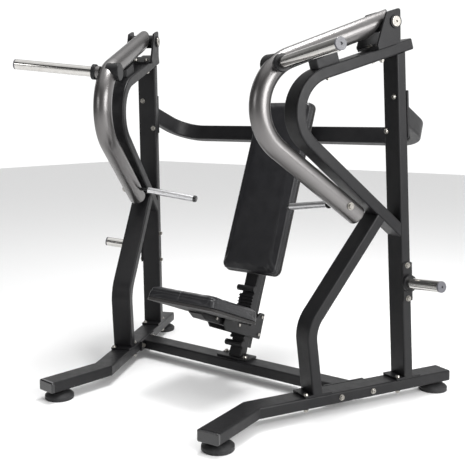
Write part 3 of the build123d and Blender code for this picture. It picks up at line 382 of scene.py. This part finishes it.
def stuffed(node, name, out):
    """Pad grown from the CAD solid by cloth simulation: pinned to its board, blown up a little."""
    axes, spans = pad_frame(node, out)
    middle = sum((axis * (low + high) / 2 for axis, (low, high) in zip(axes, spans)), Vector())
    mesh = nodes[node].data.copy()
    obj = bpy.data.objects.new(name, mesh)
    bpy.context.scene.collection.objects.link(obj)
    base = spans[2][0]
    for vertex in mesh.vertices:
        local = vertex.co - middle
        for axis, (low, high) in zip(axes[:2], spans[:2]):
            factor = 1 - 2 * SHRINK / (high - low)
            local += axis * local.dot(axis) * (factor - 1)
        height = (middle + local).dot(axes[2]) - base
        local -= axes[2] * height * SHRINK / (spans[2][1] - base)
        vertex.co = middle + local
    remesh = obj.modifiers.new("remesh", "REMESH")
    remesh.mode = "VOXEL"
    remesh.voxel_size = VOXEL
    apply_modifiers(obj)
    obj.data.materials.clear()
    obj.data.materials.append(MATERIALS["pad_leather"])
    inflate(obj, axes[2], base)
    smooth = obj.modifiers.new("subdivide", "SUBSURF")
    smooth.levels = smooth.render_levels = 1
    apply_modifiers(obj)
    for polygon in obj.data.polygons:
        polygon.use_smooth = True
    return obj, axes, spans


def apply_modifiers(obj):
    """Replaces the object's mesh by its evaluated mesh."""
    graph = bpy.context.evaluated_depsgraph_get()
    made = bpy.data.meshes.new_from_object(obj.evaluated_get(graph))
    obj.modifiers.clear()
    obj.data = made


def inflate(obj, out, base):
    """Cloth under pressure; the face on the board is pinned and the swelling is capped."""
    rest = [vertex.co.copy() for vertex in obj.data.vertices]
    group = obj.vertex_groups.new(name="board")
    held = [v.index for v in obj.data.vertices if v.co.dot(out) - base < HELD]
    group.add(held, 1.0, "REPLACE")
    cloth = obj.modifiers.new("cloth", "CLOTH")
    cloth.settings.vertex_group_mass = "board"
    cloth.settings.use_pressure = True
    cloth.settings.uniform_pressure_force = 4.0
    cloth.settings.mass = 0.3
    cloth.settings.tension_stiffness = 25
    cloth.settings.compression_stiffness = 25
    cloth.settings.bending_stiffness = 2.0
    cloth.settings.effector_weights.gravity = 0.0
    for step in range(1, CLOTH_FRAMES + 1):
        bpy.context.scene.frame_set(step)
    apply_modifiers(obj)
    bpy.context.scene.frame_set(1)
    for vertex, start in zip(obj.data.vertices, rest):
        move = vertex.co - start
        if move.length > SWELL:
            vertex.co = start + move * (SWELL / move.length)


def groove(obj, distance, depth, width=SEAM_WIDTH):
    """Presses a rounded channel into the pad; distance(co) is the distance from the seam line."""
    normals = [vertex.normal.copy() for vertex in obj.data.vertices]
    for vertex, normal in zip(obj.data.vertices, normals):
        away = distance(vertex.co)
        if away < width:
            vertex.co -= normal * depth * 0.5 * (1 + math.cos(math.pi * away / width))


def stitches(name, points, normals, pitch=0.007, length=0.0048, radius=0.0006):
    """Row of thread stitches laid on the pad's surface along a line of points."""
    mesh = bmesh.new()
    run = 0.0
    nearest = 0.0
    for first, second, normal in zip(points, points[1:], normals):
        span = (second - first).length
        if span < 1e-9:
            continue
        along = (second - first) / span
        while nearest <= run + span:
            spot = first + along * (nearest - run)
            side = along.cross(normal).normalized()
            turn = Matrix((side, normal.cross(side), normal)).transposed().to_4x4()
            size = Matrix.Diagonal((radius, length / 2, radius, 1))
            bmesh.ops.create_icosphere(mesh, subdivisions=1, radius=1.0,
                                       matrix=Matrix.Translation(spot + normal * radius * 0.6) @ turn @ size)
            nearest += pitch
        run += span
    data = bpy.data.meshes.new(name)
    mesh.to_mesh(data)
    mesh.free()
    data.materials.append(THREAD)
    for polygon in data.polygons:
        polygon.use_smooth = True
    made = bpy.data.objects.new(name, data)
    bpy.context.scene.collection.objects.link(made)
    return made


def rounded_outline(half_a, half_b, radius, steps=10):
    """Closed rounded rectangle about the origin, as (a, b) pairs."""
    points = []
    for quarter, (sign_a, sign_b) in enumerate(((1, 1), (-1, 1), (-1, -1), (1, -1))):
        for step in range(steps + 1):
            angle = math.radians(90 * (quarter + step / steps))
            points.append((sign_a * (half_a - radius) + radius * math.cos(angle),
                           sign_b * (half_b - radius) + radius * math.sin(angle)))
    return points + points[:1]


def border(obj, axes, spans, corner, height, name, body):
    """Seam round the pad at a height above its board, with a row of stitches under it."""
    across, along, out = axes
    middle = across * (sum(spans[0]) / 2) + along * (sum(spans[1]) / 2)
    groove(obj, lambda co: abs(co.dot(out) - height) if near_wall(co, axes, spans) else 1.0, BORDER_DEPTH)
    outline = rounded_outline((spans[0][1] - spans[0][0]) / 2, (spans[1][1] - spans[1][0]) / 2, corner)
    ring, facing = [], []
    for (a, b), (c, d) in zip(outline, outline[1:]):
        count = max(1, int(math.hypot(c - a, d - b) / STITCH_STEP))
        for part in range(count):
            share = part / count
            probe = middle + across * (a + (c - a) * share) + along * (b + (d - b) * share)
            spot, normal = obj.closest_point_on_mesh(probe + out * (height - STITCH_DROP))[1:3]
            ring.append(spot)
            facing.append(normal)
    made = stitches(name, ring, facing)
    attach(made, body)


def near_wall(co, axes, spans):
    """True near the pad's side walls."""
    edge = min(min(co.dot(axis) - low, high - co.dot(axis))
               for axis, (low, high) in zip(axes[:2], spans[:2]))
    return edge < WALL_REACH


def upholster():
    """Both pads: cloth-simulated cover, border seam, and the seat's centre seam on its front band."""
    for node, name, out, body in (("seat_pad", "seat_cushion", POST_T, "seat"),
                                  ("backrest_pad", "backrest_cushion", POST_N, "frame")):
        obj, axes, spans = stuffed(node, name, out)
        top = spans[2][1]
        border(obj, axes, spans, CORNERS[node], top - SEAM_DROP, name + "_stitches", body)
        if node == "seat_pad":
            reach = spans[1][0] + CENTRE_REACH
            groove(obj, lambda co: abs(co.x) if co.dot(axes[1]) < reach else 1.0, CENTRE_DEPTH)
        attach(obj, body)
        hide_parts(node)


THREAD = thread()
make_camera()
make_studio()
dress_frame()
upholster()
